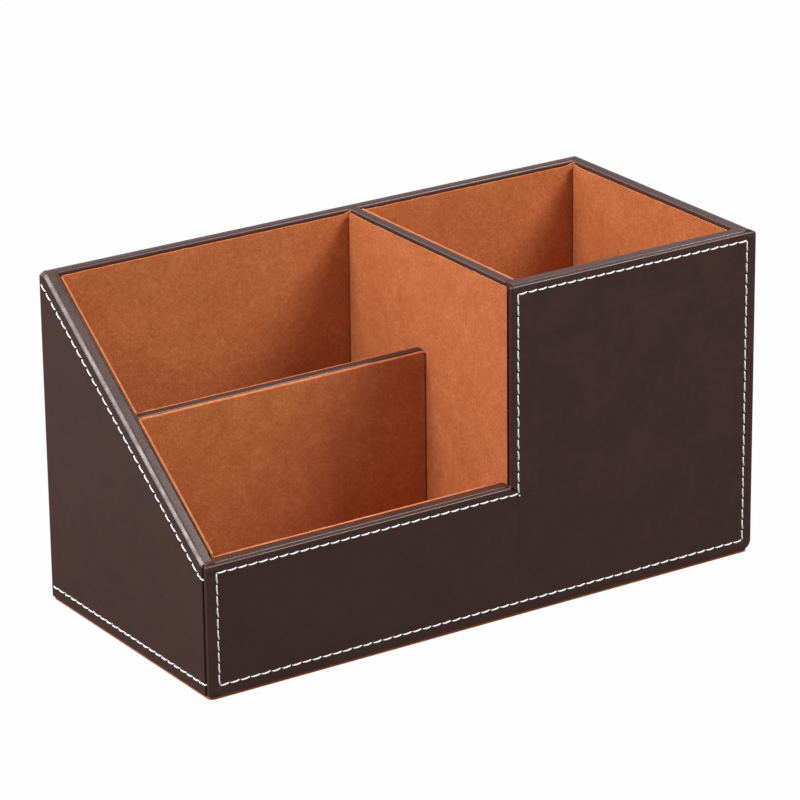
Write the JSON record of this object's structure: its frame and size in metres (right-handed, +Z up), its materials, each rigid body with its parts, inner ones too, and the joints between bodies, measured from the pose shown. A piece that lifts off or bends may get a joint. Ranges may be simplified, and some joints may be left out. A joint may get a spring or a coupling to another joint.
{
  "type": "desk organizer",
  "caption": "Open-top desk organizer in stitched leather over board, with suede-lined compartments, a stepped front and one side that slopes down to it.",
  "frame": {"origin": "middle of the underside of the base pad, on the surface that the organizer stands on", "axes": "+X to the right seen from the front, +Y to the back, +Z up"},
  "size_m": [0.2006, 0.0956, 0.107],
  "materials": {
    "leather_brown": "smooth dark brown leather with a faint grain and a soft sheen",
    "suede_tan": "matte tan suede with soft mottling",
    "board": "plain compressed fibre board",
    "card": "plain stiff card",
    "thread_cream": "waxed off-white sewing thread"
  },
  "bodies": {
    "root": {"base_pad": "suede_tan", "bottom_board": "board", "back_board": "board", "left_side_board": "board", "right_side_board": "board", "front_board": "board", "main_divider_board": "board", "cross_divider_board": "board", "side_band": "leather_brown", "front_rim_wrap": "leather_brown", "panel_card": "card", "panel_leather": "leather_brown", "main_divider_wrap": "leather_brown", "cross_divider_wrap": "leather_brown", "back_lining_left": "suede_tan", "back_lining_right": "suede_tan", "left_lining_rear": "suede_tan", "left_lining_front": "suede_tan", "front_lining_left": "suede_tan", "front_lining_right": "suede_tan", "right_lining": "suede_tan", "divider_lining_left": "suede_tan", "divider_lining_right": "suede_tan", "cross_lining_front": "suede_tan", "cross_lining_rear": "suede_tan", "floor_lining_rear": "suede_tan", "floor_lining_front": "suede_tan", "floor_lining_right": "suede_tan", "panel_stitching": "thread_cream", "rim_stitching": "thread_cream", "base_stitching": "thread_cream"}
  },
  "joints": []
}
